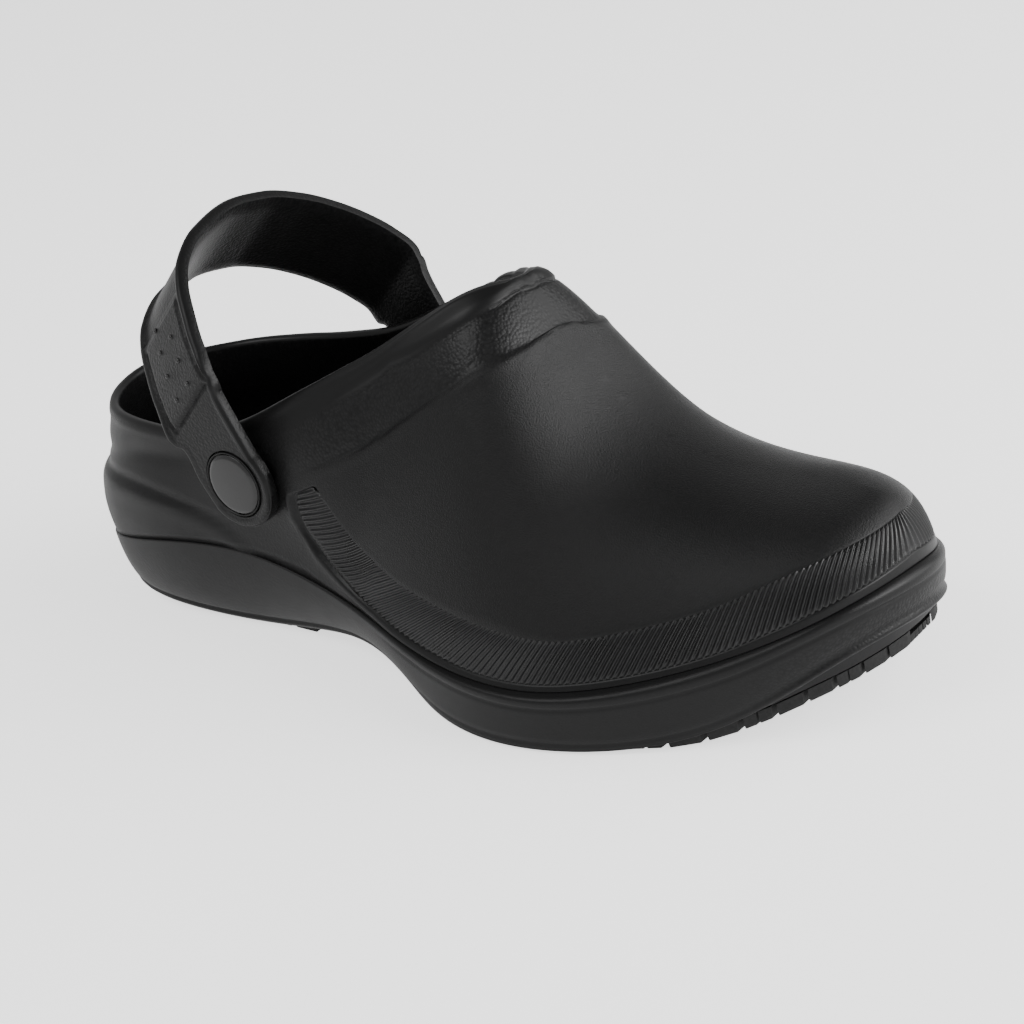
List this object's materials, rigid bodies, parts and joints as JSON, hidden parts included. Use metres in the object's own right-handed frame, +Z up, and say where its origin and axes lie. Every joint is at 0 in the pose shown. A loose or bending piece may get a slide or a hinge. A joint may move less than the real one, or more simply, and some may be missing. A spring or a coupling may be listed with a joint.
{
  "type": "work shoe",
  "caption": "Closed-toe moulded foam work clog for the right foot, with an open collar, a heel strap on side rivets and a lugged rubber outsole.",
  "frame": {"origin": "on the floor, under the middle of the shoe's bounding box", "axes": "+X from heel to toe, +Y to the inner side of the foot, +Z up"},
  "size_m": [0.2861, 0.1161, 0.1237],
  "materials": {
    "moulded_foam": "satin black moulded foam with a leather-like grain",
    "outsole_rubber": "matt black rubber",
    "insole_foam": "matt black foam, fine grain",
    "strap_foam": "satin black moulded foam",
    "rivet_plastic": "black plastic, half gloss",
    "badge_gloss": "black, high gloss, left bare"
  },
  "bodies": {
    "root": {"upper": "moulded_foam", "midsole": "moulded_foam", "outsole": "outsole_rubber", "insole": "insole_foam", "heel_strap": "strap_foam", "rivet_lateral": "rivet_plastic", "rivet_medial": "rivet_plastic", "badge_lateral": "badge_gloss", "badge_medial": "badge_gloss"}
  },
  "joints": []
}
